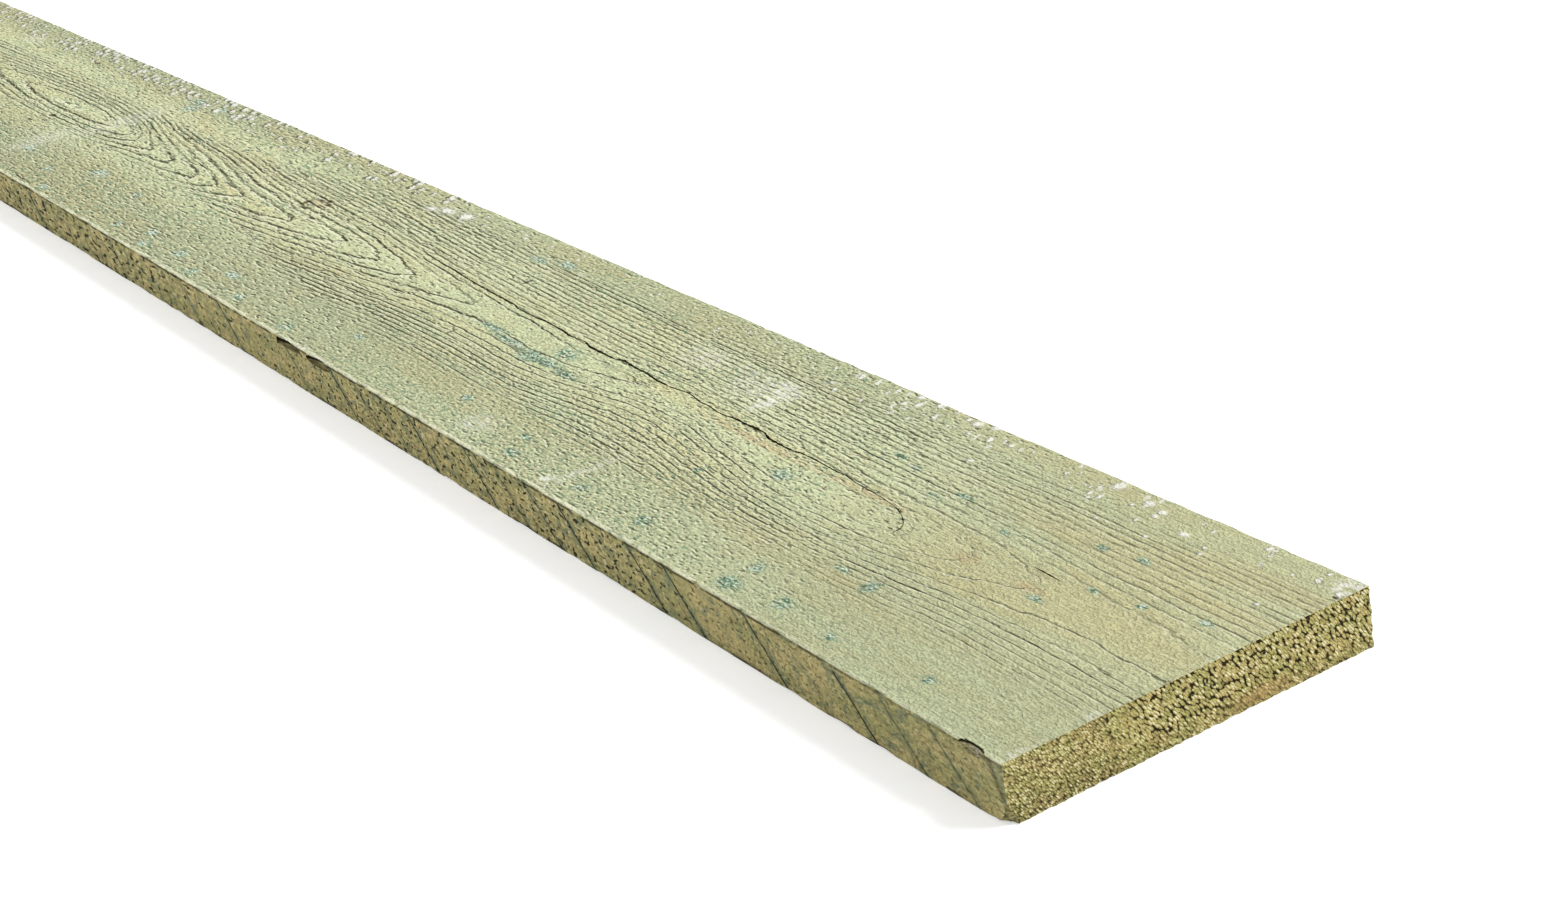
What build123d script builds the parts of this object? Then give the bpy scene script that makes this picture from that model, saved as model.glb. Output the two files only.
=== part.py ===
from build123d import *
import os
from math import pi, sin

# A rough-sawn, pressure-treated pine board, one length of stock lying on its wide face.
# Millimetres. The origin is the centre of the bottom face. +X runs along the grain to the near end,
# +Y across the face to the far edge, and +Z up through the thickness.

# Sawn section, and the length the board is cut to
length = 1800.0
width = 145.0
thickness = 22.0

# The four long arrises are a little rubbed
arris_radius = 0.8

# Drying checks are splits that opened along a growth ring while the board dried. A path goes through
# points given as (back from the near end, from the centre line towards the far edge).
# The long check starts in a hook round the nose of its ring and then runs on along the grain.
long_check_path = [
    (152.0, -4.5),
    (158.0, 3.0),
    (173.0, 8.5),
    (210.0, 11.0),
    (250.0, 10.0),
    (300.0, 12.0),
    (375.0, 14.0),
    (440.0, 15.5),
    (500.0, 17.5),
    (560.0, 21.5),
]
long_check_opening = 1.4
long_check_depth = 6.0

# Short checks further along the same heart streak
short_check_paths = [
    [(79.0, 10.0), (86.0, 11.0), (93.0, 11.5)],
    [(786.0, 4.0), (794.0, 5.0), (802.0, 5.5)],
    [(833.0, 7.5), (846.0, 8.5), (860.0, 9.5)],
]
short_check_opening = 0.9
short_check_depth = 2.5

# A check runs out at this depth at both tips
check_tip_depth = 0.8

# Slivers torn from the front top arris, as (back from the near end, length), and how far they reach in
chip_places = [(14.0, 15.0), (508.0, 32.0), (538.0, 25.0)]
chip_reach = 3.2

# The lower front corner of the near end is knocked off: how far the break runs along each of its edges
knock_along_front = 5.0
knock_along_end = 3.5
knock_height = 8.0

near_end = length / 2
front_edge = -width / 2
lip_points = 16
spare = 1.0


def check_cutter(path, opening, depth):
    """The gap of one check: a lens in plan along the path, with a floor that dips to the depth half way."""
    centre = Spline(*[(near_end - back, across) for back, across in path])
    near_lip = []
    far_lip = []
    for i in range(lip_points + 1):
        place = i / lip_points
        along = centre.tangent_at(place)
        to_lip = Vector(-along.Y, along.X) * opening / 2 * sin(pi * place)
        near_lip.append(centre.position_at(place) - to_lip)
        far_lip.append(centre.position_at(place) + to_lip)
    plan = make_face(Spline(*near_lip) + Spline(*far_lip))
    gap = Pos(0, 0, thickness - depth - spare) * extrude(plan, depth + 2 * spare)

    start = max(tip.X for tip in near_lip + far_lip) + spare
    stop = min(tip.X for tip in near_lip + far_lip) - spare
    tip_level = thickness - check_tip_depth
    floor = ThreePointArc((stop, tip_level), ((start + stop) / 2, thickness - depth), (start, tip_level))
    above = thickness + spare
    sides = Polyline((start, tip_level), (start, above), (stop, above), (stop, tip_level))
    reach = extrude(Plane.XZ * make_face(floor + sides), width, both=True)
    return gap & reach


def chip_cutter(back, chip_length):
    """A spindle on the front top arris, which takes out a sliver that tapers away at both ends."""
    half = chip_length / 2
    bulge = ThreePointArc((-half, 0), (0, chip_reach), (half, 0))
    spindle = revolve(make_face(bulge + Line((half, 0), (-half, 0))), Axis.X)
    return Pos(near_end - back, front_edge, thickness) * spindle


def sawn_board():
    """The plain board: the sawn section with its long arrises rubbed."""
    section = Rectangle(width, thickness, align=(Align.CENTER, Align.MIN))
    section = fillet(section.vertices(), arris_radius)
    return extrude(Plane.YZ * section, length / 2, both=True)


def knock_off_corner(board):
    """The board without its lower front corner at the near end, cut away on one slanting break."""
    break_face = Plane(
        Face(
            Wire.make_polygon(
                [
                    (near_end, front_edge, knock_height),
                    (near_end - knock_along_front, front_edge, 0),
                    (near_end, front_edge + knock_along_end, 0),
                ]
            )
        )
    )
    sides = split(board, bisect_by=break_face, keep=Keep.BOTH)
    return max(sides.solids(), key=lambda side: side.volume)


board = sawn_board()
board -= check_cutter(long_check_path, long_check_opening, long_check_depth)
for short_path in short_check_paths:
    board -= check_cutter(short_path, short_check_opening, short_check_depth)
for chip_back, chip_length in chip_places:
    board -= chip_cutter(chip_back, chip_length)
board = knock_off_corner(board)

os.makedirs("parts", exist_ok=True)
export_step(board, "parts/pine_board.step")
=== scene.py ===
import math
import random

import bmesh
import bpy
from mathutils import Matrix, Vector


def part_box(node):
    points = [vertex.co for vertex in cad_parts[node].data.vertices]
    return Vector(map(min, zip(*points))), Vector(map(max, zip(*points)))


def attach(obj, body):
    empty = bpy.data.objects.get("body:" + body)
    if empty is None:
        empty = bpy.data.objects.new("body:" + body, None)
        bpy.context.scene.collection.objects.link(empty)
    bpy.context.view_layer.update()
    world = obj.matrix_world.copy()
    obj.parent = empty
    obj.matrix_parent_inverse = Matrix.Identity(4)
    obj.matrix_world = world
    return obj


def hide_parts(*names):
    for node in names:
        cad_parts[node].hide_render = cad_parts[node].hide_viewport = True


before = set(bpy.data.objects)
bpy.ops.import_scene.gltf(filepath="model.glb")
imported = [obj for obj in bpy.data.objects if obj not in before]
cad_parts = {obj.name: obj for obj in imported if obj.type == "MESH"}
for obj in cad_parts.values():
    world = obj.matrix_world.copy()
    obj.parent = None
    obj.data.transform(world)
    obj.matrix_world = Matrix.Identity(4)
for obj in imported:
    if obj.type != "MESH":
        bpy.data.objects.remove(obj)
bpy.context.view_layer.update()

# The board is one length of pine, sawn from the log on all four sides and cross-cut square at both ends.
# It starts as a block of the sawn size, cut into a grid that is finer across the grain than along it.
low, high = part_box("pine_board")
length, width, thickness = high - low
near_end = high.x
front_edge = low.y
top_face = high.z
MM = 0.001

fine_length = 700
cuts_up = [27]
cuts_across = [15, 14]
cuts_along_near = [9, 12]
cuts_along_far = [9, 8]
bottom_lines = 60
hair = 1e-6


def on_board(back, across, down=0.0):
    """A point given in mm: back from the near end, across from the front edge, down from the top face."""
    return Vector((near_end - back * MM, front_edge + across * MM, top_face - down * MM))


def select_edges(piece, wanted):
    """Selects the edges of a piece in edit mode whose two ends pass a test, and nothing else."""
    bpy.ops.mesh.select_all(action="DESELECT")
    shape = bmesh.from_edit_mesh(piece.data)
    for edge in shape.edges:
        edge.select_set(wanted(edge.verts[0].co, edge.verts[1].co))
    bmesh.update_edit_mesh(piece.data)


def cut_grid(piece, axis, cuts, wanted=lambda a, b: True):
    """Cuts the wanted edges that run along an axis, once for each number of cuts."""
    across_axes = [other for other in range(3) if other != axis]

    def runs_along(a, b):
        return wanted(a, b) and all(abs(a[other] - b[other]) < hair for other in across_axes)

    for number in cuts:
        select_edges(piece, runs_along)
        bpy.ops.mesh.subdivide(number_cuts=number)


def spare_bottom_line(a, b):
    """True for a lengthwise line of the bottom grid that lies between the lines that are kept."""
    place = (a.y - low.y) / width * bottom_lines
    on_bottom = max(a.z, b.z) < low.z + hair
    inside = low.y + MM / 10 < a.y < high.y - MM / 10
    return on_bottom and inside and abs(a.y - b.y) < hair and abs(place - round(place)) > 0.1


bpy.ops.object.select_all(action="DESELECT")
bpy.ops.mesh.primitive_cube_add(size=1, location=(low + high) / 2, scale=(length, width, thickness))
board = bpy.context.object
board.name = "sawn_board"
bpy.ops.object.transform_apply(location=True, rotation=False, scale=True)
bpy.ops.object.mode_set(mode="EDIT")
coarse_from = near_end - fine_length * MM
bpy.ops.mesh.bisect(plane_co=(coarse_from, 0, 0), plane_no=(1, 0, 0))
cut_grid(board, 2, cuts_up)
cut_grid(board, 1, cuts_across)
cut_grid(board, 0, cuts_along_near, lambda a, b: min(a.x, b.x) > coarse_from - MM)
cut_grid(board, 0, cuts_along_far, lambda a, b: max(a.x, b.x) < coarse_from + MM)
select_edges(board, spare_bottom_line)
bpy.ops.mesh.dissolve_edges(use_verts=True)
bpy.ops.object.mode_set(mode="OBJECT")


# Patterns of the wood: every finish, and the carved relief too, works them out from the place on the board.
# Plain sums on readings add the nodes, so one description of the rings serves them all.
class Reading:
    """What one node says at every point of the wood: a number, a place or a colour."""

    def __init__(self, tree, socket=None):
        self.tree = tree
        self.socket = socket

    def node(self, kind, settings={}, sockets={}, out=0):
        """Adds a node to the same tree: its settings first, then the value or the link of each socket."""
        new = self.tree.nodes.new(kind)
        for name, value in settings.items():
            if name == "points":
                curve = new.mapping.curves[0]
                curve.points[0].location = value[0]
                curve.points[1].location = value[-1]
                for point in value[1:-1]:
                    curve.points.new(*point)
                new.mapping.update()
            else:
                setattr(new, name, value)
        for name, value in sockets.items():
            if isinstance(value, Reading):
                self.tree.links.new(value.socket, new.inputs[name])
            else:
                new.inputs[name].default_value = value
        return Reading(self.tree, new.outputs[out])

    def math(self, operation, *values):
        return self.node("ShaderNodeMath", {"operation": operation}, dict(enumerate(values)))

    def __add__(self, other):
        return self.math("ADD", self, other)

    def __sub__(self, other):
        return self.math("SUBTRACT", self, other)

    def __rsub__(self, other):
        return self.math("SUBTRACT", other, self)

    def __mul__(self, other):
        return self.math("MULTIPLY", self, other)

    def __truediv__(self, other):
        return self.math("DIVIDE", self, other)

    def __pow__(self, other):
        return self.math("POWER", self, other)

    __radd__ = __add__
    __rmul__ = __mul__

    def most(self, other):
        return self.math("MAXIMUM", self, other)

    def least(self, other):
        return self.math("MINIMUM", self, other)

    def by(self, operation):
        """One step of arithmetic on this reading alone, such as ROUND or SQRT."""
        return self.math(operation, self)

    def size(self):
        return self.by("ABSOLUTE")

    def rise(self, start, stop):
        """Climbs smoothly from 0 to 1 between two values, or falls where the first is the larger."""
        limits = {"Value": self, "From Min": start, "From Max": stop}
        return self.node("ShaderNodeMapRange", {"interpolation_type": "SMOOTHSTEP"}, limits)

    def axes(self):
        """The three parts of a place, each as a number."""
        parts = self.node("ShaderNodeSeparateXYZ", {}, {0: self}).socket.node
        return [Reading(self.tree, part) for part in parts.outputs]

    def moved(self, stretch, shift):
        """A place stretched along each axis, then shifted."""
        values = {0: self, 1: stretch, 2: shift}
        return self.node("ShaderNodeVectorMath", {"operation": "MULTIPLY_ADD"}, values)

    def length(self):
        return self.node("ShaderNodeVectorMath", {"operation": "LENGTH"}, {0: self}, out="Value")

    def noise(self, sizes, detail=2, shift=0, rough=0.5):
        """Noise from 0 to 1 at a place, with blotches of the given sizes along, across and down."""
        at = self.moved([1 / part for part in sizes], [shift, 2 * shift, 3 * shift])
        values = {"Vector": at, "Scale": 1, "Detail": detail, "Roughness": rough}
        return self.node("ShaderNodeTexNoise", {}, values)

    def over(self, under, top):
        """Lays one colour over another, with this reading as the share of the upper one."""
        layers = {0: self, 6: under, 7: top}
        return self.node("ShaderNodeMix", {"data_type": "RGBA", "clamp_factor": True}, layers, out=2)

    def scaled(self, factor):
        """A colour or a place times a number."""
        return self.node("ShaderNodeVectorMath", {"operation": "SCALE"}, {0: self, "Scale": factor})

    def joined(self, *others):
        """A place put together from this number and one or two more."""
        return self.node("ShaderNodeCombineXYZ", {}, dict(enumerate((self, *others))))

    def chance(self):
        """A random number from 0 to 1, the same wherever this reading is the same."""
        return self.node("ShaderNodeTexWhiteNoise", {"noise_dimensions": "1D"}, {"W": self})

    def cells(self):
        """How far the nearest of many scattered points is, and three random numbers of that point's own."""
        gap = self.node("ShaderNodeTexVoronoi", {"voronoi_dimensions": "2D"}, {"Vector": self, "Scale": 1})
        return gap, Reading(self.tree, gap.socket.node.outputs["Color"]).axes()


def dye(red, green, blue):
    """A colour as a paint chart gives it, from 0 to 255, in the linear values that a shader takes."""
    return [((part / 255 + 0.055) / 1.055) ** 2.4 for part in (red, green, blue)] + [1]


# Growth rings: the board is cut above the pith, which lies nearest to the top face about 1060 mm along.
# A ring shows as a thin sunken line, and the rings close into pointed loops along the heart line.
# They lie closer towards the front edge and rise over a hump, and the long drying check follows ring 20.
ring_width = 2.3
front_spread = 0.6
far_spread = 0.85
ring_slant = 0.05
heart_middle = 76.5
steady_strip = (78, 98)
steady_share = 0.75
close_from = 54
close_share = 0.4
hump_place = (322, 62)
hump_reach = (110, 36)
hump_rise = 7
heart_rings = [
    (0, 22.6), (80, 22), (118, 21), (152, 20), (200, 19.5), (300, 19.25), (430, 18.6), (508, 18),
    (600, 16.1), (643, 15), (709, 14), (770, 13), (828, 11), (912, 9), (985, 6), (1060, 5.2), (1140, 6),
    (1250, 8), (1450, 11), (1800, 16),
]
heart_line = [
    (0, 73.5), (80, 75.5), (118, 74), (152, 71.5), (200, 71.5), (250, 74.5), (310, 77.8), (400, 75),
    (470, 78), (575, 76), (643, 75.5), (709, 72.5), (797, 71.5), (828, 70.5), (912, 74), (985, 79),
    (1060, 79.7), (1140, 79), (1300, 80), (1500, 76), (1800, 73),
]
nose_width = [(0, 18), (100, 14), (190, 7), (500, 6), (700, 6), (1000, 5), (1800, 8)]


def board_place(position):
    """A place in mm from a position in metres: back from the near end, across from the front, down."""
    return position.moved((-1 / MM, 1 / MM, -1 / MM), (near_end / MM, -front_edge / MM, top_face / MM))


def along_board(back, stations, span):
    """A value that follows its stations smoothly along the board, all of them below the span."""
    points = [(station / (length / MM), value / span) for station, value in stations]
    return span * back.node("ShaderNodeFloatCurve", {"points": points}, {"Value": back / (length / MM)})


def from_centre(place, centre, reach):
    """How far a place lies from the centre of a spot: 0 at the centre, 1 at its reach along and across."""
    scale = (1 / reach[0], 1 / reach[1], 0)
    shift = (-centre[0] / reach[0], -centre[1] / reach[1], 0)
    return place.moved(scale, shift).length()


def mound(place, centre, reach):
    """1 at the centre of a spot on the face, down to 0 at its reach along and across."""
    return from_centre(place, centre, reach).rise(1, 0)


def growth_rings(place):
    """Rings counted out from the pith, how fast the radius changes over the face, and the heart's side."""
    back, across, down = place.axes()
    heart = along_board(back, heart_line, 145)
    aside = across - heart - steady_share * (heart_middle - heart) * across.rise(*steady_strip)
    aside = aside - close_share * (close_from - across).most(0)
    aside = aside - hump_rise * mound(place, hump_place, hump_reach)
    far_side = aside.rise(-6, 6)
    spread = front_spread + (far_spread - front_spread) * far_side
    nose = along_board(back, nose_width, 30) + 5 * far_side
    reach = ((aside * spread) ** 2 + nose ** 2).by("SQRT")
    waver = (place.noise((110, 40, 40), 1, 3) - 0.5) * 2.0 + (place.noise((20, 7, 7), 3, 7, 0.6) - 0.5) * 1.5
    waver = waver + (place.noise((5, 2, 2), 1, 9) - 0.5) * 0.45
    rings = along_board(back, heart_rings, 30) + (reach - nose - down + waver) / ring_width
    spread = spread * (1 + close_share * across.rise(close_from + 1, close_from - 1)).by("SQRT")
    slope = ((aside * spread * spread / reach) ** 2 + ring_slant ** 2).by("SQRT")
    return rings, slope, aside.by("SIGN")


def ring_line(rings, slope):
    """For the nearest ring: mm from its line over the surface, and its own random share."""
    number = rings.by("ROUND")
    past = (rings - number) * ring_width / slope
    return past, number.chance()


def coarser(place, size, shift, rough=0.5):
    """Noise in blotches of one size across the near end, which grow longer and wider along the board."""
    back = place.axes()[0]
    near_noise = place.noise((1.6 * size, size, size), 1, shift, rough)
    middle_noise = place.noise((2.6 * size, 1.35 * size, 1.35 * size), 1, shift + 5, rough)
    far_noise = place.noise((5.2 * size, 1.9 * size, 1.9 * size), 1, shift + 9, rough)
    mixed = near_noise + (middle_noise - near_noise) * back.rise(120, 240)
    return mixed + (far_noise - mixed) * back.rise(420, 760)


def spots(place, list_of_spots, ragged):
    """The strongest of several ragged spots, each given as back, across, half length, half width."""
    shares = None
    for back, across, half_length, half_width in list_of_spots:
        share = (from_centre(place, (back, across), (half_length, half_width)) + ragged).rise(1, 0.3)
        shares = share if shares is None else shares.most(share)
    return shares


def new_finish(name):
    """A new wood finish, with the place on the board that its patterns are read at."""
    finish = bpy.data.materials.new(name)
    finish.use_nodes = True
    start = Reading(finish.node_tree)
    return finish, board_place(start.node("ShaderNodeTexCoord", out="Object"))


def lay_finish(finish, colour, roughness, height):
    """Joins a colour, a roughness and a relief in mm to the finish's shader."""
    tree = finish.node_tree
    shader = tree.nodes["Principled BSDF"]
    bump = height.node("ShaderNodeBump", {}, {"Height": height, "Distance": MM, "Strength": 1})
    tree.links.new(colour.socket, shader.inputs["Base Color"])
    tree.links.new(roughness.socket, shader.inputs["Roughness"])
    tree.links.new(bump.socket, shader.inputs["Normal"])
    shader.inputs["Specular IOR Level"].default_value = 0.2


# Wide faces: sawn pine that the preservative has turned a pale grey green, with tan streaks along the grain.
# Saw teeth left the far strip flecked, and the salts dried in small blue-green spots.
sawn_green = dye(206, 212, 169)
streak_tan = dye(208, 202, 154)
groove_brown = dye(64, 62, 32)
pale_lip_highlight = dye(246, 247, 212)
salt_green = dye(112, 150, 120)
salt_white = dye(228, 242, 222)
salt_dark = dye(52, 78, 66)
fleck_white = dye(254, 254, 240)
heart_brown = dye(202, 174, 130)
speck_and_shadow_dark = dye(84, 88, 58)
knot_dark = dye(66, 46, 22)

fine_rate = 1.7
fine_shift = 0.4
salt_spots = [
    (20, 95, 3.5, 2), (44, 89, 3, 2), (65, 86, 4, 1.8), (75, 70, 5, 2.4), (68, 110, 4, 2), (86, 107, 4, 2),
    (121, 93, 4, 1.6), (155, 101, 6, 2), (165, 94.5, 5, 1.5), (190, 104.5, 5, 1.8), (203, 106.5, 5, 1.8),
    (225, 68, 7, 3.5), (165, 8, 7, 5), (137, 12, 5, 4.5), (105, 10, 4, 2.5), (167, 21, 4, 4),
    (57, 15, 4, 3), (124, 39, 4, 5), (143, 40, 5, 2), (233, 13, 6, 4), (255, 50, 3, 3), (278, 12, 5, 3),
    (331, 10, 6, 3.5), (340, 21, 5, 2.5), (398, 24, 5, 3), (385, 63.5, 12, 2.6), (403, 65, 12, 3.6),
    (405, 75, 10, 5), (417, 64, 12, 5.5), (440, 66.5, 18, 2.6), (462, 69.5, 16, 3), (505, 130, 10, 4),
    (525, 125, 9, 3), (508, 24, 6, 3), (552, 7, 7, 4), (612, 8, 6, 4), (645, 19, 8, 4), (670, 8, 6, 4),
    (703, 14, 8, 4), (752, 18, 9, 4), (740, 8, 6, 4), (785, 10, 6, 4), (826, 36, 8, 3), (890, 37, 14, 6),
    (895, 7, 13, 2.5), (930, 20, 6, 3), (965, 122, 10, 6), (975, 130, 14, 6), (940, 132, 8, 4),
    (985, 28, 10, 4),
]
salt_streaks = [(386, 63.4, 10, 0.9), (403, 62.8, 8, 1.3), (430, 64.6, 10, 1.0), (448, 67, 13, 0.9)]
brown_patches = [
    (82, 73, 12, 4), (116, 73, 9, 6), (190, 80, 40, 2.4), (260, 79, 60, 3), (711, 94, 14, 11),
]
dark_marks = [
    (708, 99, 4, 2.4), (704, 96, 4, 2.2), (706, 92, 4, 2), (714, 97.5, 4, 2.2), (720, 91, 3, 6),
    (713, 86, 7, 1.8), (693, 81.5, 5, 1.6), (903, 97, 5, 2.4), (476, 55, 1.3, 3.4), (1045, 62, 6, 2.6),
    (1142, 125, 5, 2), (1052, 49.5, 5, 1.6), (930, 4.2, 20, 0.9), (502, 107, 1.6, 4), (2, 132.5, 2.4, 1.2),
    (158, 76, 2.2, 0.9), (156, 69, 3, 0.7), (164, 79, 2.2, 1), (162, 71.5, 2, 0.7), (157, 73.5, 2, 0.6),
    (188, 82, 2.5, 0.9),
]
white_smears = [(293, 113, 16, 8), (289, 106, 9, 17), (296, 7, 5, 5), (4, 140, 7, 8)]
white_hazes = [
    (2, 6, 3, 12), (1.5, 36, 3, 6), (1.2, 81, 2.5, 4), (305, 108, 22, 14), (324, 115, 12, 5),
    (350, 110, 20, 12), (291, 20, 4, 28), (370, 14, 14, 10), (998, 40, 18, 30), (982, 85, 16, 40),
    (1262, 122, 26, 8),
]
white_scuffs = [
    (616, 133, 8, 5), (634, 131, 10, 4), (645, 127.5, 8, 3), (500, 0.8, 14, 0.7), (533, 0.8, 15, 0.7),
    (517, 1, 4, 2),
]
tooth_marks = [
    (119, 141, 3.6, 4.6), (236, 138.5, 2.2, 4.2), (203, 142, 3.8, 3.2), (100, 139, 3.6, 2.6),
    (91, 137, 3.2, 2), (228, 143, 3.2, 2.6), (73, 131, 3.4, 2), (194, 143.5, 3.6, 1.8), (241, 143, 3.2, 2),
    (3, 135, 2.4, 2.2), (43, 142, 2, 2.4), (177, 138, 2, 2), (91, 133.5, 2.6, 1.6), (118, 131.5, 1.6, 2.6),
    (123, 131, 1.4, 2.6), (209, 142, 2, 1.6), (198, 134.5, 2.8, 1), (283, 129.5, 1.8, 1.6),
    (179, 120.5, 2, 2), (188, 135.5, 1.6, 1.6), (82, 122, 2.2, 1), (18, 114, 1.4, 1.6),
    (142, 136, 1.6, 1.4), (106, 120, 1.6, 1.2), (104, 134.5, 1.5, 1.2), (94, 128, 1.4, 1.4),
    (15, 142, 1.4, 1.4), (58, 125, 1.4, 1.4), (60, 129, 1.4, 1.4), (315, 144, 2.2, 1.2),
]
fleck_shares = [
    (0, 0.2), (60, 0.28), (130, 0.28), (160, 0.22), (200, 0.38), (260, 0.33), (310, 0.15), (560, 0.15),
    (620, 0.5), (850, 0.5), (950, 0.6), (1400, 0.6), (1800, 0.4),
]

finish, place = new_finish("sawn_face")
back, across, down = place.axes()
rings, face_slope, side = growth_rings(place)
past, chance = ring_line(rings, face_slope)
fine_past, fine_chance = ring_line(rings * fine_rate + fine_shift, face_slope * fine_rate)

# Ring lines fade out towards both edges, are worn near the end, and are bold round the noses of the loops.
# Each line is partly darker wood and partly painted shade in its groove, with a painted highlight as a pale
# lip on the side of the front edge, and finer lines lie between them.
front_fade = (across - 26 - 24 * back.rise(560, 800)).rise(0, 16)
far_fade = (across + 24 * back.rise(650, 850)).rise(134, 124)
inside = front_fade * far_fade
worn = 0.65 + 0.35 * back.rise(120, 280) - 0.08 * back.rise(600, 800)
nose = face_slope.rise(0.56, 0.3) * back.rise(430, 520) * across.rise(84, 76)
broken = place.noise((8, 3, 3), 3, 11, 0.6).rise(0.34, 0.54)
fading = place.noise((70, 6, 6), 1, 12).rise(0.35, 0.6)
strength = (0.1 + 0.9 * inside) * (0.55 + 0.55 * chance) * (0.45 + 0.55 * broken)
strength = strength * (0.65 + 0.45 * fading) * worn
strength = strength * (1.1 + 0.5 * across.rise(80, 70))
strength = strength.least(1)
strength = strength.most(nose * (0.45 + 0.5 * broken))
fine_strength = inside * fine_chance.rise(0.3, 1) * place.noise((12, 3, 3), 2, 13).rise(0.4, 0.6)
fine_strength = fine_strength * worn * (0.3 + 0.25 * across.rise(60, 90))
half = (0.56 + 0.44 * back.rise(250, 800)) * (1 + 0.8 * nose)
line = (past.size() / half).rise(1, 0.3) * strength
line = line.most((fine_past.size() / half).rise(0.9, 0.25) * fine_strength)
ahead = past * side / half
ring_lip_highlight = ahead.rise(-2.4, -1.2) * ahead.rise(-0.3, -0.8) * strength

# Ground: green with tan drifts along the grain, grainy all over, and darker along the front and far strips.
fibre = place.noise((9, 1.2, 1.2), 2, 17)
grit = coarser(place, 0.85, 23).rise(0.3, 0.7)
coarse_grit = place.noise((6, 3.0, 3.0), 2, 29, 0.6)
drift = place.noise((160, 22, 22), 2, 31)
ragged = (place.noise((3.0, 1.5, 1.5), 3, 37, 0.6) - 0.5) * 3.2
patches = place.noise((40, 12, 12), 2, 33)
tan = drift.rise(0.44, 0.64) * 0.55 + patches.rise(0.5, 0.68) * 0.3
tan = tan + 0.3 * back.rise(200, 40) * across.rise(20, 60)
colour = tan.over(sawn_green, streak_tan)
brown = spots(place, brown_patches, ragged * 0.5) * 0.5
colour = brown.over(colour, heart_brown)
rough = 0.25 + 0.3 * back.rise(120, 280)
shade = 1 + rough * (grit - 0.5) + 0.4 * (fibre - 0.5) + 0.4 * (coarse_grit - 0.5)
lighter = across.rise(25, 50) * 0.1 + across.rise(80, 95) * 0.02
shade = shade + lighter * back.rise(120, 260) * across.rise(135, 118)
shade = shade - across.rise(70, 30) * (0.09 + 0.11 * back.rise(380, 560))
shade = shade - across.rise(112, 128) * (0.1 * back.rise(120, 250) + 0.05 * back.rise(750, 900))
colour = colour.scaled(shade)
# Painted highlight on the front side of each ring line, then the line itself, partly painted shade.
colour = (ring_lip_highlight * 0.9).over(colour, pale_lip_highlight)
colour = (line * 0.95).over(colour, groove_brown)
colour = (spots(place, dark_marks, ragged * 0.3) * 0.9).over(colour, knot_dark)

# Salts: fine specks, most of them along the front, and larger clusters with a dark crust.
front_strip = across.rise(40, 8)
speck_field = coarser(place, 1.2, 41)
salt_field = place.noise((60, 26, 26), 2, 43).rise(0.42, 0.62)
specks = speck_field.rise(0.58, 0.64) * (0.15 + 0.85 * front_strip.most(salt_field))
clusters = spots(place, salt_spots, ragged * 0.6 - 0.15) * speck_field.rise(0.36, 0.46)
salt_tone = (place.noise((2.2, 1.2, 1.2), 2, 47) + 0.06 * back.rise(350, 600)).rise(0.48, 0.58)
salt = clusters.most(specks * (0.3 + 0.45 * back.rise(60, 220)))
colour = salt.over(colour, (salt_tone * clusters).over(salt_green, salt_white))
crust = place.noise((2.6, 1.3, 1.3), 1, 49).rise(0.55, 0.62) * clusters
colour = (crust.most(spots(place, salt_streaks, ragged * 0.4)) * 0.6).over(colour, salt_dark)

# Torn fibre: short dark dashes, partly painted shade, each with a pale painted highlight beside it.
torn_at = place.moved((0.4, 1, 1), (0, 0, 0))
torn_share = 0.25 + 0.75 * back.rise(60, 220)
dark_specks = coarser(torn_at, 0.95, 53).rise(0.6, 0.66) * 0.85 * torn_share
pale_and_highlight_specks = coarser(torn_at.moved((1, 1, 1), (0, 0.9, 0)), 0.95, 53).rise(0.6, 0.66) * 0.85 * torn_share
colour = pale_and_highlight_specks.over(colour, pale_lip_highlight)
colour = dark_specks.over(colour, speck_and_shadow_dark)


def tooth_flecks(at):
    """Ragged flecks of raised fibre, longer across the board than along it, as (shape, random share)."""
    gap, (chance, size, tone) = at.cells()
    return (gap + ragged * 0.4 + 0.35 * size).rise(0.52, 0.42) * (0.7 + 0.3 * tone), chance


# Flecks along the far strip: small ones at first, larger ones with a painted shadow further on.
fleck_share = along_board(back, fleck_shares, 1) * (across - 4 * back.rise(300, 150)).rise(118, 133)
small_at = ((back - 0.35 * across) / 3.4 + 0.7).joined(across / 5.4)
large_at = ((back - 0.55 * across) / 7.5 + 0.3).joined(across / 6.4)
small_shape, small_chance = tooth_flecks(small_at)
large_shape, large_chance = tooth_flecks(large_at)
shadow_shape, shadow_chance = tooth_flecks(large_at.moved((1, 1, 1), (-0.3, 0.12, 0)))
flecks = small_shape * (small_chance + fleck_share * 0.75).rise(1.0, 1.06) * back.rise(620, 560)
flecks = flecks.most(large_shape * (large_chance + fleck_share).rise(1.0, 1.1) * back.rise(560, 620))
fleck_shadow = shadow_shape * (shadow_chance + fleck_share).rise(1.0, 1.1) * back.rise(560, 620)
colour = (fleck_shadow * 0.95).over(colour, speck_and_shadow_dark)
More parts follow.
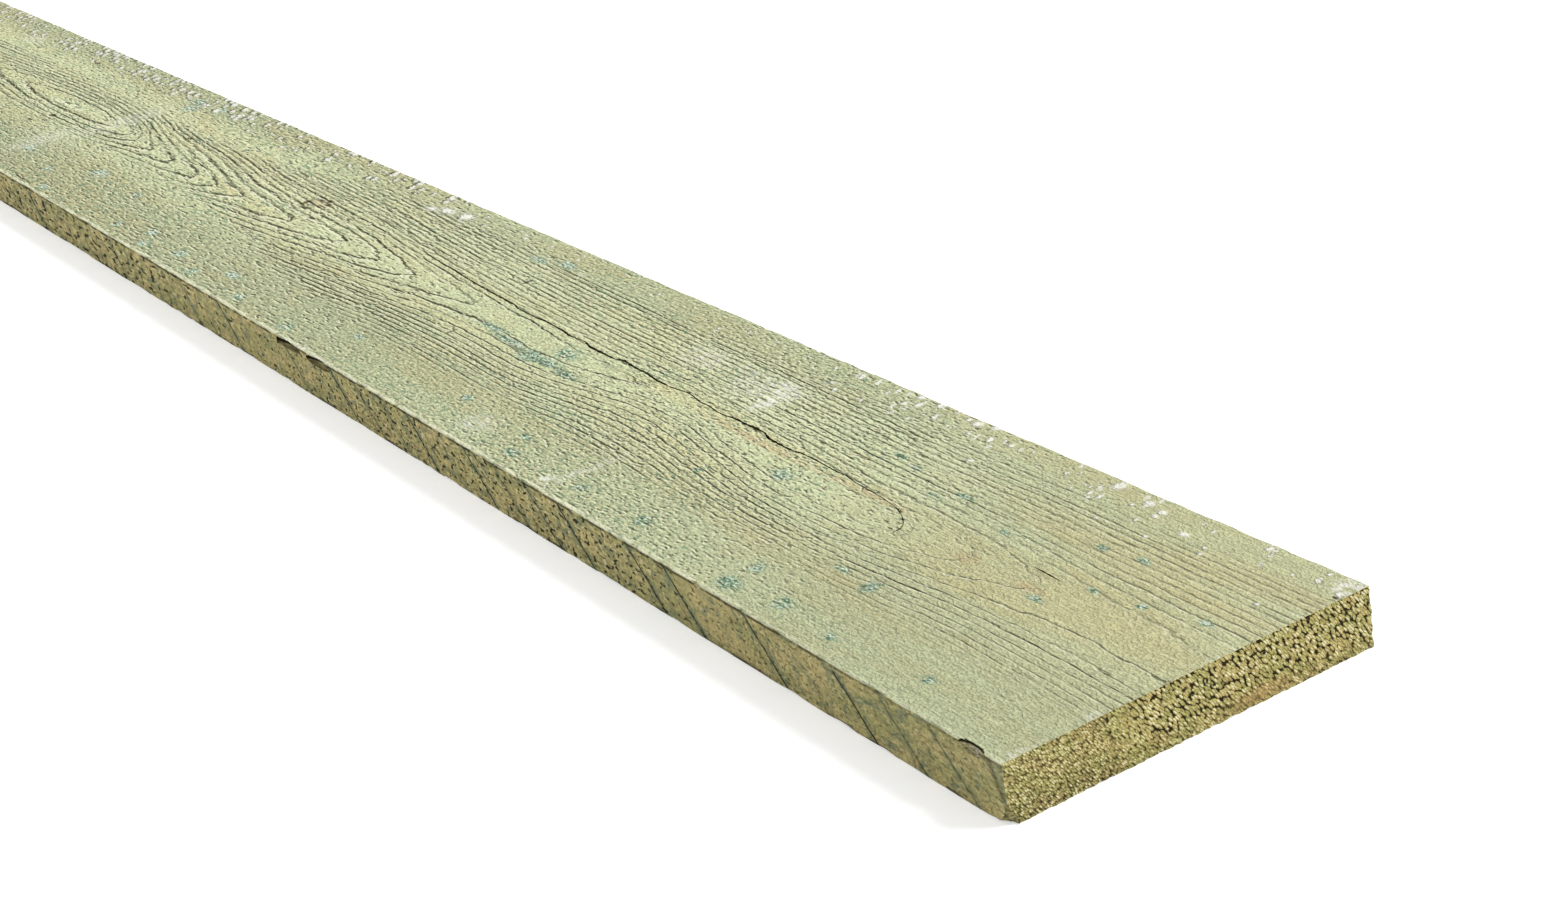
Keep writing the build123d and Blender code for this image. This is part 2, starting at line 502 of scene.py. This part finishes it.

# Bare and rubbed places: white smears, scuffs, single tooth marks, and the pale front arris, frayed and
# partly a painted highlight.
smears = (spots(place, white_smears, ragged * 0.6) * 0.85).most(spots(place, white_hazes, ragged * 0.6) * 0.4)
smears = smears * place.noise((5, 2.0, 2.0), 2, 61).rise(0.38, 0.58)
scuffs = spots(place, white_scuffs, ragged * 0.7).most(spots(place, tooth_marks, ragged * 0.3))
white = flecks.most(smears).most(scuffs)
colour = white.over(colour, fleck_white)
arris_fray_and_highlight = across.rise(2.6, 1.2) * place.noise((10, 6, 6), 3, 67).rise(0.32, 0.55)
arris_fray_and_highlight = arris_fray_and_highlight * (0.3 + 0.5 * back.rise(80, 260))
colour = arris_fray_and_highlight.over(colour, pale_lip_highlight)

height = 0.3 * (fibre - 0.5) + 0.4 * grit + 0.4 * (coarse_grit - 0.5) + 0.15 * ring_lip_highlight - 0.45 * line
height = height + 0.8 * flecks.most(scuffs) - 0.3 * dark_specks
lay_finish(finish, colour, 0.88 - 0.1 * salt, height)
board.data.materials.append(finish)

# Long edges: the same pine, sawn too, but browner and less weathered than the wide faces.
# The saw left slanting dark marks at an even pitch, some deep and some faint, and a last one by the near end.
edge_tan = dye(208, 193, 134)
edge_olive = dye(186, 179, 121)
edge_pale = dye(240, 228, 176)
mark_and_shade_dark = dye(50, 50, 30)
edge_salt = dye(116, 138, 112)
first_mark = 15
mark_pitch = 26.4
mark_slant = 25
last_mark = 7.5
last_slant = 0.42
deep_marks = (2, 4, 6, 7, 9, 12, 14, 17, 22, 33)
light_marks = (0, 1, 10, 11, 15, 16, 19, 24, 28)

finish, place = new_finish("sawn_edge")
back, across, down = place.axes()
past, chance = ring_line(growth_rings(place)[0], 1)

wander = (place.noise((5, 5, 3), 2, 71) - 0.5) * 1.6
lean = back - mark_slant * (1 - down / (thickness / MM)) + wander
marks = (lean - first_mark) / mark_pitch
number = marks.by("ROUND")
mark_gap = (marks - number).size() * mark_pitch
share = 0.15 * number.chance()
for mark_number in deep_marks:
    share = share.most((number - mark_number).size().rise(0.6, 0.4))
for mark_number in light_marks:
    share = share.most((number - mark_number).size().rise(0.6, 0.4) * 0.55)
faint = (lean * (3 / mark_pitch)).by("FRACT")
faint_mark = (faint - 0.5).size().rise(0.1, 0.02) * place.noise((25, 9, 12), 2, 72).rise(0.52, 0.66) * 0.5
mark_break = place.noise((7, 7, 4), 2, 73).rise(0.28, 0.45)
mark = (mark_gap.rise(1.2, 0.3) * share).most(faint_mark) * (0.45 + 0.55 * mark_break)
mark = mark * down.rise(1, 3.5).most(back.rise(100, 160))
last_cut = back + last_slant * down - last_mark + wander
mark = mark.most(last_cut.size().rise(2, 0.4) * (0.15 + 0.45 * mark_break))
stain = mark_gap.rise(7, 1) * (0.4 + 0.6 * share) * place.noise((6, 6, 5), 2, 74).rise(0.42, 0.56)
stain = stain.most(last_cut.rise(0.5, -2) * 0.7)

fibre = place.noise((12, 1.2, 1.2), 2, 79)
grit = coarser(place, 1.0, 83).rise(0.3, 0.7)
coarse_grit = place.noise((6, 3, 3), 2, 89, 0.6)
drift = place.noise((45, 9, 9), 2, 97)
colour = drift.rise(0.38, 0.62).over(edge_tan, edge_olive)
line = past.size().rise(0.9, 0.2) * chance.rise(0.5, 1) * place.noise((60, 9, 9), 1, 101).rise(0.45, 0.65)
rough = 0.35 + 0.2 * back.rise(120, 280)
shade = 0.98 - 0.01 * back.rise(250, 600) + rough * (grit - 0.5) + 0.5 * (fibre - 0.5) - 0.2 * line
shade = shade + 0.8 * (coarse_grit - 0.5)
colour = colour.scaled(shade)
blots = (place.noise((8, 5, 5), 3, 107, 0.6).rise(0.54, 0.62) * 0.6).most(stain * 0.7)
colour = blots.over(colour, edge_salt)
pale_and_highlight_specks = coarser(place, 1.5, 109).rise(0.6, 0.66) * (0.4 + 0.35 * back.rise(60, 240))
colour = pale_and_highlight_specks.over(colour, edge_pale)
dark_specks = coarser(place, 1.3, 111).rise(0.58, 0.63) * (0.4 + 0.55 * back.rise(60, 240))
colour = dark_specks.over(colour, mark_and_shade_dark)
colour = (mark * 0.9).over(colour, mark_and_shade_dark)
# A broken dark line just under the top arris is painted shade beneath its lip.
shade_under_lip = down.rise(0.4, 0.7) * down.rise(2.0, 1.3) * place.noise((9, 6, 2), 3, 103, 0.6).rise(0.4, 0.48)
shade_under_lip = shade_under_lip * (0.45 + 0.55 * back.rise(40, 120))
foot = down.rise(20.4, 21.2) * place.noise((22, 8, 9), 2, 104).rise(0.48, 0.58)
colour = (shade_under_lip.most(foot) * 0.8).over(colour, mark_and_shade_dark)
# The pale frayed top arris, partly a painted highlight.
arris_fray_and_highlight = down.rise(0.8, 0.4) * place.noise((10, 6, 6), 3, 67).rise(0.32, 0.55) * 0.8
colour = arris_fray_and_highlight.over(colour, pale_lip_highlight)
height = 0.3 * (fibre - 0.5) + 0.4 * grit + 0.5 * (coarse_grit - 0.5) - 0.6 * mark - 0.3 * dark_specks
lay_finish(finish, colour, 0.88 - 0.1 * blots, height)
board.data.materials.append(finish)

# Ends: cross-cut with a coarse saw, so the open fibres stand up in yellow-olive tufts, with painted
# highlights on them and painted shade in the pits between.
# The teeth pulled the tufts down and to the right, and tore deepest on the far half.
end_tan = dye(190, 172, 112)
end_highlight_pale = dye(255, 250, 208)
end_pit_shade = dye(48, 38, 10)
end_green = dye(168, 164, 98)
end_brown = dye(186, 152, 98)
tear_slant = 0.6
brown_place = (98, 18.5)
brown_reach = (22, 4.5)
end_cuts = [
    (39, 2.4, 0.9, 1.6), (39.5, 7, 1.0, 1.2), (68.5, 5, 1.4, 0.8), (71.5, 7.2, 1.6, 0.8),
    (77.5, 5.5, 0.8, 1.3), (80, 8, 1.2, 0.7), (84, 9.6, 1.0, 0.9), (100.5, 5.6, 1.0, 1.1),
    (119, 2.2, 0.9, 1.3), (134.6, 5.6, 1.0, 1.8), (136.5, 8.6, 1.0, 1.2), (125.5, 17, 0.9, 1.6),
    (61.5, 16, 0.8, 0.9), (143.6, 6, 0.8, 1.4),
]

finish, place = new_finish("end_grain")
back, across, down = place.axes()
phase = growth_rings(place)[0].by("FRACT")
torn = back.joined(across - tear_slant * down, down)
flat_place = across.joined(down)
coarse = across.rise(30, 58) * (0.55 + 0.45 * down.rise(21, 14))


def tufts(torn, reach, tall, shift):
    """Tufts of fibre set close together: the tone and the hue of each, from 0 to 1, and the gaps between."""
    over, up = torn.moved((0, 1 / reach, 1 / tall), (0, shift, shift)).axes()[1:]
    gap, shares = over.joined(up).cells()
    return shares[0], shares[1], gap


fine_tone, fine_hue, fine_gap = tufts(torn, 0.75, 1.25, 0.3)
wide_tone, wide_hue, wide_gap = tufts(torn, 1.05, 1.9, 0.7)
fuzz = torn.noise((3, 0.7, 1.1), 1, 113) - 0.5
tone = 0.5 + 0.6 * (fine_tone + (wide_tone - fine_tone) * coarse - 0.5) + fuzz
gap = fine_gap + (wide_gap - fine_gap) * coarse + fuzz * 0.5
blotch = place.noise((9, 9, 6), 2, 131)
hue = 0.35 * (fine_hue + (wide_hue - fine_hue) * coarse) + blotch.rise(0.36, 0.64) * 0.65
colour = hue.over(end_tan, end_green)
band = mound(flat_place, brown_place, brown_reach)
colour = (band * 0.7).over(colour, end_brown)
calm = (0.8 + 0.2 * coarse) * (1 - 0.6 * band)
level = 1.0 + 0.36 * coarse - 0.24 * down.rise(12, 19) + 0.12 * (blotch - 0.5) - 0.08 * phase.rise(0.4, 1)
# Painted light and shade: each tuft lighter in its middle and darker towards its gaps.
level = level + calm * (1.3 * (tone - 0.5) + 1.3 * (0.45 - gap))
colour = colour.scaled(level.least(1.35))
# Painted highlight on the tops of the tufts.
colour = (tone.rise(0.5, 0.8) * gap.rise(0.48, 0.25) * calm).over(colour, end_highlight_pale)
ragged = (place.noise((2, 1.0, 1.0), 2, 135) - 0.5) * 2
cuts = spots(flat_place, end_cuts, ragged * 0.6)
# Painted shade in the pits between the tufts and in the cracks.
shaded_pits = (gap.rise(0.5, 0.66) * (0.75 + 0.25 * coarse) * calm).most(cuts)
colour = shaded_pits.over(colour, end_pit_shade)
height = (0.4 + 0.5 * coarse) * (tone.rise(0, 0.6) - gap) + 0.2 * fuzz - cuts
lay_finish(finish, colour, 0.9 - 0.05 * blotch, height)
board.data.materials.append(finish)

edge_slot = board.data.materials.find("sawn_edge")
end_slot = board.data.materials.find("end_grain")
facing = 0.7
for face in board.data.polygons:
    if abs(face.normal.x) > facing:
        face.material_index = end_slot
    elif abs(face.normal.y) > facing:
        face.material_index = edge_slot

# Drying checks: splits that opened along a ring while the board dried, with their walls painted dark as the
# shade inside them.
# The long one hooks round the nose of its ring and then runs on beside the heart line.
long_check = [
    (152, 67), (152.5, 71), (155, 74), (160, 77), (166, 79.4), (172, 80.5), (180, 81.5), (197, 82.3),
    (206, 83.8), (210, 83.2), (225, 83.8), (236, 83.8), (240, 82.8), (257, 83), (263, 85), (271, 85.3),
    (276, 84.8), (287, 85), (290, 84.1), (297, 84), (305, 85), (310, 84.6), (317, 85.8), (323, 86.6),
    (335, 85), (346, 85), (358, 86.4), (365, 86.3), (377, 87.2), (383, 85.6), (404, 85.7), (411, 87.4),
    (424, 86.4), (432, 87.7), (451, 88.3), (456, 87.6), (475, 87.8), (480, 89.1), (505, 89.8), (520, 90.5),
    (540, 91.8), (550, 92.9), (561, 93.3), (575, 94.2), (590, 95.6),
]
long_openings = [
    (152, 0.02), (153, 0.4), (154, 0.02), (157, 0.02), (158, 0.5), (160, 0.5), (161, 0.02), (163, 0.02),
    (164, 0.7), (167, 0.6), (169, 0.05), (172, 0.3), (180, 0.12), (200, 0.4), (206, 0.6), (236, 0.8),
    (257, 1.6), (262, 0.9), (272, 1.7), (287, 1.5), (291, 0.6), (310, 0.9), (335, 1.1), (348, 1.9),
    (360, 1.4), (377, 1.9), (383, 0.7), (390, 1.9), (404, 1.6), (412, 0.7), (451, 1.0), (475, 0.8),
    (505, 1.1), (550, 0.9), (570, 0.5), (590, 0.12),
]
short_checks = [
    [(79, 83), (86, 83.4), (93, 83.6)],
    [(786, 76), (794, 76.8), (802, 77.2)],
    [(833, 79.6), (846, 81), (860, 82)],
]
short_openings = (0.3, 1.0, 0.2)
long_depth = 6
short_depth = 2
tip_depth = 0.8
floor_share = 0.35
least_width = 0.35
painted_shade_dark = dye(38, 34, 18)
shaded_check_brown = dye(96, 90, 56)

finish, place = new_finish("check_wall")
fibre = place.noise((10, 1, 1), 2, 139)
colour = fibre.rise(0.3, 0.7).over(painted_shade_dark, shaded_check_brown)
lay_finish(finish, colour, 0.95 - 0.02 * fibre, 0.3 * fibre)
check_wall = finish


def point_along(path, share):
    """The point a share of the way along a path of points, counted by how far back they are."""
    back = path[0][0] + share * (path[-1][0] - path[0][0])
    for (back_a, across_a), (back_b, across_b) in zip(path, path[1:]):
        if back <= back_b:
            break
    part = min(1, max(0, (back - back_a) / (back_b - back_a)))
    return back, across_a + part * (across_b - across_a)


def check_blade(path, openings, depth, steps, seed):
    """A thin blade for one check, as wide as its openings say, with ragged sides that close downwards."""
    ragged = random.Random(seed)
    widths = [least_width + (1 - least_width) * ragged.random() for step in range(steps + 1)]
    bpy.ops.mesh.primitive_grid_add(x_subdivisions=steps, y_subdivisions=1, size=1)
    blade = bpy.context.object
    blade.data.materials.append(check_wall)
    bpy.ops.object.mode_set(mode="EDIT")
    bpy.ops.mesh.extrude_region_move(TRANSFORM_OT_translate={"value": (0, 0, -1)})
    shape = bmesh.from_edit_mesh(blade.data)
    for corner in shape.verts:
        share = corner.co.x + 0.5
        side = 1 if corner.co.y > 0 else -1
        deep = corner.co.z < -0.5
        back, across = point_along(path, share)
        opening = point_along(openings, (back - openings[0][0]) / (openings[-1][0] - openings[0][0]))[1]
        half = opening / 2 * widths[round(share * steps)]
        floor_depth = tip_depth + depth * math.sin(math.pi * share) ** 0.5
        if deep:
            corner.co = on_board(back, across + side * half * floor_share, floor_depth)
        else:
            corner.co = on_board(back, across + side * half, -1)
    bpy.ops.mesh.select_all(action="SELECT")
    bpy.ops.mesh.normals_make_consistent(inside=False)
    bpy.ops.object.mode_set(mode="OBJECT")
    return blade


def cut_out(cutters):
    """Takes the shapes of the cutters out of the board, with the cutters' finish on the new faces."""
    bpy.ops.object.select_all(action="DESELECT")
    for cutter in cutters:
        cutter.select_set(True)
    bpy.context.view_layer.objects.active = cutters[0]
    if len(cutters) > 1:
        bpy.ops.object.join()
    cut = board.modifiers.new("cut", "BOOLEAN")
    cut.operation = "DIFFERENCE"
    cut.solver = "EXACT"
    cut.material_mode = "TRANSFER"
    cut.object = cutters[0]
    bpy.ops.object.select_all(action="DESELECT")
    bpy.context.view_layer.objects.active = board
    board.select_set(True)
    bpy.ops.object.modifier_apply(modifier="cut")
    bpy.data.objects.remove(cutters[0])


bpy.ops.object.select_all(action="DESELECT")
blades = [check_blade(long_check, long_openings, long_depth, steps=300, seed=3)]
for number, path in enumerate(short_checks):
    openings = [(point[0], opening) for point, opening in zip(path, short_openings)]
    blades.append(check_blade(path, openings, short_depth, steps=12, seed=5 + number))
cut_out(blades)

# Torn places: slivers pulled off the front top arris, and the near end's lower front corner knocked off.
# The bare wood is brown with white fuzz, and painted dark under the lip of the top face, as shade.
# A sliver is given as back, half length, reach in, reach down and how far its middle is below the top face.
slivers = [(15, 6.5, 1.7, 2.0, 0.8), (500, 13, 2.6, 2.2, 2.5), (533, 14, 2.6, 2.0, 2.3)]
knock_front = 5
knock_end = 3.5
knock_height = 8
knock_size = 20
knock_cuts = 20
knock_rough = 0.02
chip_rough = 0.08
torn_brown = dye(124, 116, 76)
torn_pale = dye(184, 174, 124)
fibre_white = dye(236, 234, 220)

finish, place = new_finish("torn_wood")
back, across, down = place.axes()
fibre = place.noise((8, 1, 1), 2, 149)
colour = fibre.rise(0.4, 0.62).over(torn_brown, torn_pale)
fuzz = place.noise((3, 0.9, 0.9), 2, 147).rise(0.5, 0.58) * down.rise(0.9, 1.4) * down.rise(3.4, 2.4)
colour = (fuzz * 0.75).over(colour, fibre_white)
colour = (down - 2.3 * back.rise(50, 100)).rise(1.5, 0.8).over(colour, painted_shade_dark)
lay_finish(finish, colour, 0.95 - 0.02 * fibre, 0.8 * fibre)
torn_wood = finish

chips = []
for number, (back, half_length, reach_in, reach_down, below) in enumerate(slivers):
    bpy.ops.mesh.primitive_ico_sphere_add(subdivisions=3, radius=1)
    chip = bpy.context.object
    chip.data.materials.append(torn_wood)
    bpy.ops.object.mode_set(mode="EDIT")
    bpy.ops.mesh.select_all(action="SELECT")
    bpy.ops.transform.vertex_random(offset=chip_rough, uniform=1, normal=0, seed=number + 1)
    chip_size = (half_length * MM, reach_in * MM, reach_down * MM)
    bpy.ops.transform.resize(value=chip_size, center_override=(0, 0, 0))
    bpy.ops.transform.translate(value=on_board(back, 0, below))
    bpy.ops.object.mode_set(mode="OBJECT")
    chips.append(chip)
break_points = [
    on_board(0, 0, thickness / MM - knock_height),
    on_board(knock_front, 0, thickness / MM),
    on_board(0, knock_end, thickness / MM),
]
break_out = (break_points[1] - break_points[0]).cross(break_points[2] - break_points[0]).normalized()
break_centre = sum(break_points, Vector()) / 3
bpy.ops.mesh.primitive_cube_add(size=1)
knock = bpy.context.object
knock.data.materials.append(torn_wood)
bpy.ops.object.mode_set(mode="EDIT")
bpy.ops.mesh.select_all(action="SELECT")
bpy.ops.mesh.subdivide(number_cuts=knock_cuts)
bpy.ops.transform.vertex_random(offset=knock_rough, uniform=1, normal=0, seed=4)
bpy.ops.transform.resize(value=[knock_size * MM] * 3, center_override=(0, 0, 0))
bpy.ops.object.mode_set(mode="OBJECT")
knock.rotation_euler = break_out.to_track_quat("Z", "Y").to_euler()
knock.location = break_centre + break_out * knock_size * MM / 2
cut_out(chips + [knock])

# Relief: a rough saw leaves every face a little uneven, and the arrises are rubbed and ragged.
# The ring lines are sunk into the wide faces, and the ends are the roughest. All of it is carved inwards.
# The arris is left alone round the two far slivers, which are torn already.
far_slivers_middle = (517, 0)
far_slivers_reach = (40, 12)

relief = bpy.data.node_groups.new("sawn_relief", "GeometryNodeTree")
relief.interface.new_socket("Geometry", in_out="INPUT", socket_type="NodeSocketGeometry")
relief.interface.new_socket("Geometry", in_out="OUTPUT", socket_type="NodeSocketGeometry")
start = Reading(relief)
shape = start.node("NodeGroupInput")
normal = start.node("GeometryNodeInputNormal")
place = board_place(start.node("GeometryNodeInputPosition"))
across = place.axes()[1]
rings = growth_rings(place)[0]
to_end, to_edge, to_face = (part * part for part in normal.axes())
wave = (rings * 2 * math.pi).by("COSINE") * 0.5 + 0.5
inside = across.rise(22, 38) * across.rise(138, 126)
face_relief = 0.16 * wave * inside + 0.5 * (place.noise((60, 18, 18), 2, 151) - 0.3)
edge_relief = 0.6 * (place.noise((30, 10, 8), 2, 157) - 0.3)
end_relief = place.noise((3, 2.0, 1.8), 1, 127) - 0.3
near_arris = across.rise(4, 2).most(across.rise(141, 143))
near_arris = near_arris * (1 - mound(place, far_slivers_middle, far_slivers_reach))
arris = 4 * near_arris * to_face * to_edge * (0.1 + 1.3 * place.noise((12, 9, 9), 2, 163).rise(0.45, 0.8))
end_arris = 4 * to_end * (to_face + to_edge) * 0.5 * place.noise((9, 3, 3), 2, 167).rise(0.4, 0.8)
depth = to_face * face_relief + to_edge * edge_relief + to_end * end_relief + arris + end_arris
moves = {"Geometry": shape, "Offset": normal.scaled(depth.most(0) * -MM)}
carved = start.node("GeometryNodeSetPosition", {}, moves)
relief.links.new(carved.socket, relief.nodes.new("NodeGroupOutput").inputs[0])
carve = board.modifiers.new("relief", "NODES")
carve.node_group = relief
bpy.ops.object.modifier_apply(modifier="relief")
bpy.ops.object.shade_smooth_by_angle(angle=math.radians(40))

# Flat map: the skin of the board laid out in one square, as three lengths above each other.
# Each length holds a strip of the top, the front edge, the far edge and, drawn narrower, the bottom.
# The two ends and the walls of the cuts lie beside the strips.
map_lengths = 3
map_gap = 4
bottom_share = 0.4
length_mm, width_mm, thickness_mm = length / MM, width / MM, thickness / MM
strip_length = length_mm / map_lengths
strip_height = width_mm * (1 + bottom_share) + 2 * thickness_mm + 4 * map_gap
map_side = map_lengths * strip_height
beside = strip_length + 6 * map_gap

board.data.uv_layers.active = board.data.uv_layers.new(name="OFBake")
bpy.ops.object.mode_set(mode="EDIT")
bpy.ops.mesh.select_all(action="DESELECT")
for cut_finish in (check_wall, torn_wood):
    board.active_material_index = board.data.materials.find(cut_finish.name)
    bpy.ops.object.material_slot_select()
bpy.ops.uv.smart_project(angle_limit=math.radians(60), island_margin=0.002)
bpy.ops.object.mode_set(mode="OBJECT")
flat_map = board.data.uv_layers["OFBake"]


def map_point(face, corner, loop):
    """Where one corner of a face lies on the flat map, in mm."""
    back, across, down = (near_end - corner.x) / MM, (corner.y - front_edge) / MM, (top_face - corner.z) / MM
    if face.material_index > end_slot:
        wall = flat_map.data[loop].uv
        top_of_walls = 2 * (thickness_mm + 2 * map_gap)
        return beside + wall.x * (map_side - beside), top_of_walls + wall.y * (map_side - top_of_walls)
    if face.material_index == end_slot:
        return beside + across, map_gap + down + (0 if face.center.x > 0 else thickness_mm + 2 * map_gap)
    number = min(map_lengths - 1, int((near_end - face.center.x) / MM / strip_length))
    along = 2 * map_gap + back - number * strip_length
    foot = number * strip_height + map_gap
    if face.material_index == edge_slot:
        on_front = face.center.y < (low.y + high.y) / 2
        return along, foot + width_mm + map_gap + down + (0 if on_front else thickness_mm + map_gap)
    if face.center.z > (low.z + high.z) / 2:
        return along, foot + across
    return along, foot + width_mm + 2 * thickness_mm + 3 * map_gap + across * bottom_share


places = []
for face in board.data.polygons:
    for corner, loop in zip(face.vertices, face.loop_indices):
        places += [part / map_side for part in map_point(face, board.data.vertices[corner].co, loop)]
flat_map.data.foreach_set("uv", places)

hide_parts("pine_board")
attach(board, "root")

# The stage is a plain white floor under an even sky and one soft sun.
# The sun stands behind the far edge, to the right, so the front edge is in soft shade.
sun_from = Vector((1.6, 1.9, 2.5))
sun_width = 18
sun_strength = 1.9
sky_strength = 0.56
floor_side = 30
floor_white = 0.88
floor_lift = 0.45

bpy.ops.object.select_all(action="DESELECT")
bpy.ops.mesh.primitive_plane_add(size=floor_side, location=(0, 0, low.z))
floor = bpy.context.object
floor.name = "floor"

paint = bpy.data.materials.new("floor_white")
paint.use_nodes = True
shader = paint.node_tree.nodes["Principled BSDF"]
shader.inputs["Base Color"].default_value = (floor_white, floor_white, floor_white, 1)
shader.inputs["Roughness"].default_value = 1
shader.inputs["Specular IOR Level"].default_value = 0
shader.inputs["Emission Strength"].default_value = 1
seen = Reading(paint.node_tree).node("ShaderNodeLightPath", out="Is Camera Ray") * floor_lift
paint.node_tree.links.new(seen.socket, shader.inputs["Emission Color"])
floor.data.materials.append(paint)

bpy.ops.object.light_add(type="SUN", location=sun_from)
sun = bpy.context.object
sun.data.angle = math.radians(sun_width)
sun.data.energy = sun_strength
sun.rotation_euler = sun_from.to_track_quat("Z", "Y").to_euler()

sky = bpy.data.worlds.new("sky")
sky.use_nodes = True
backdrop = sky.node_tree.nodes["Background"]
backdrop.inputs["Color"].default_value = (1, 1, 1, 1)
seen = Reading(sky.node_tree).node("ShaderNodeLightPath", out="Is Camera Ray")
sky_level = seen * (1 - sky_strength) + sky_strength
sky.node_tree.links.new(sky_level.socket, backdrop.inputs["Strength"])
bpy.context.scene.world = sky

# The camera stands beyond the near end, in front and above, and is tilted as the photograph is.
# The far end of the board runs out of the picture.
camera_place = (1.475, -0.444, 0.427)
camera_turn = (66.26, 8.88, 57.39)
camera_lens = 63.2
camera_sensor = 36

bpy.ops.object.camera_add(location=camera_place, rotation=[math.radians(turn) for turn in camera_turn])
camera = bpy.context.object
camera.data.lens = camera_lens
camera.data.sensor_width = camera_sensor
bpy.context.scene.camera = camera
bpy.context.scene.view_settings.view_transform = "Standard"
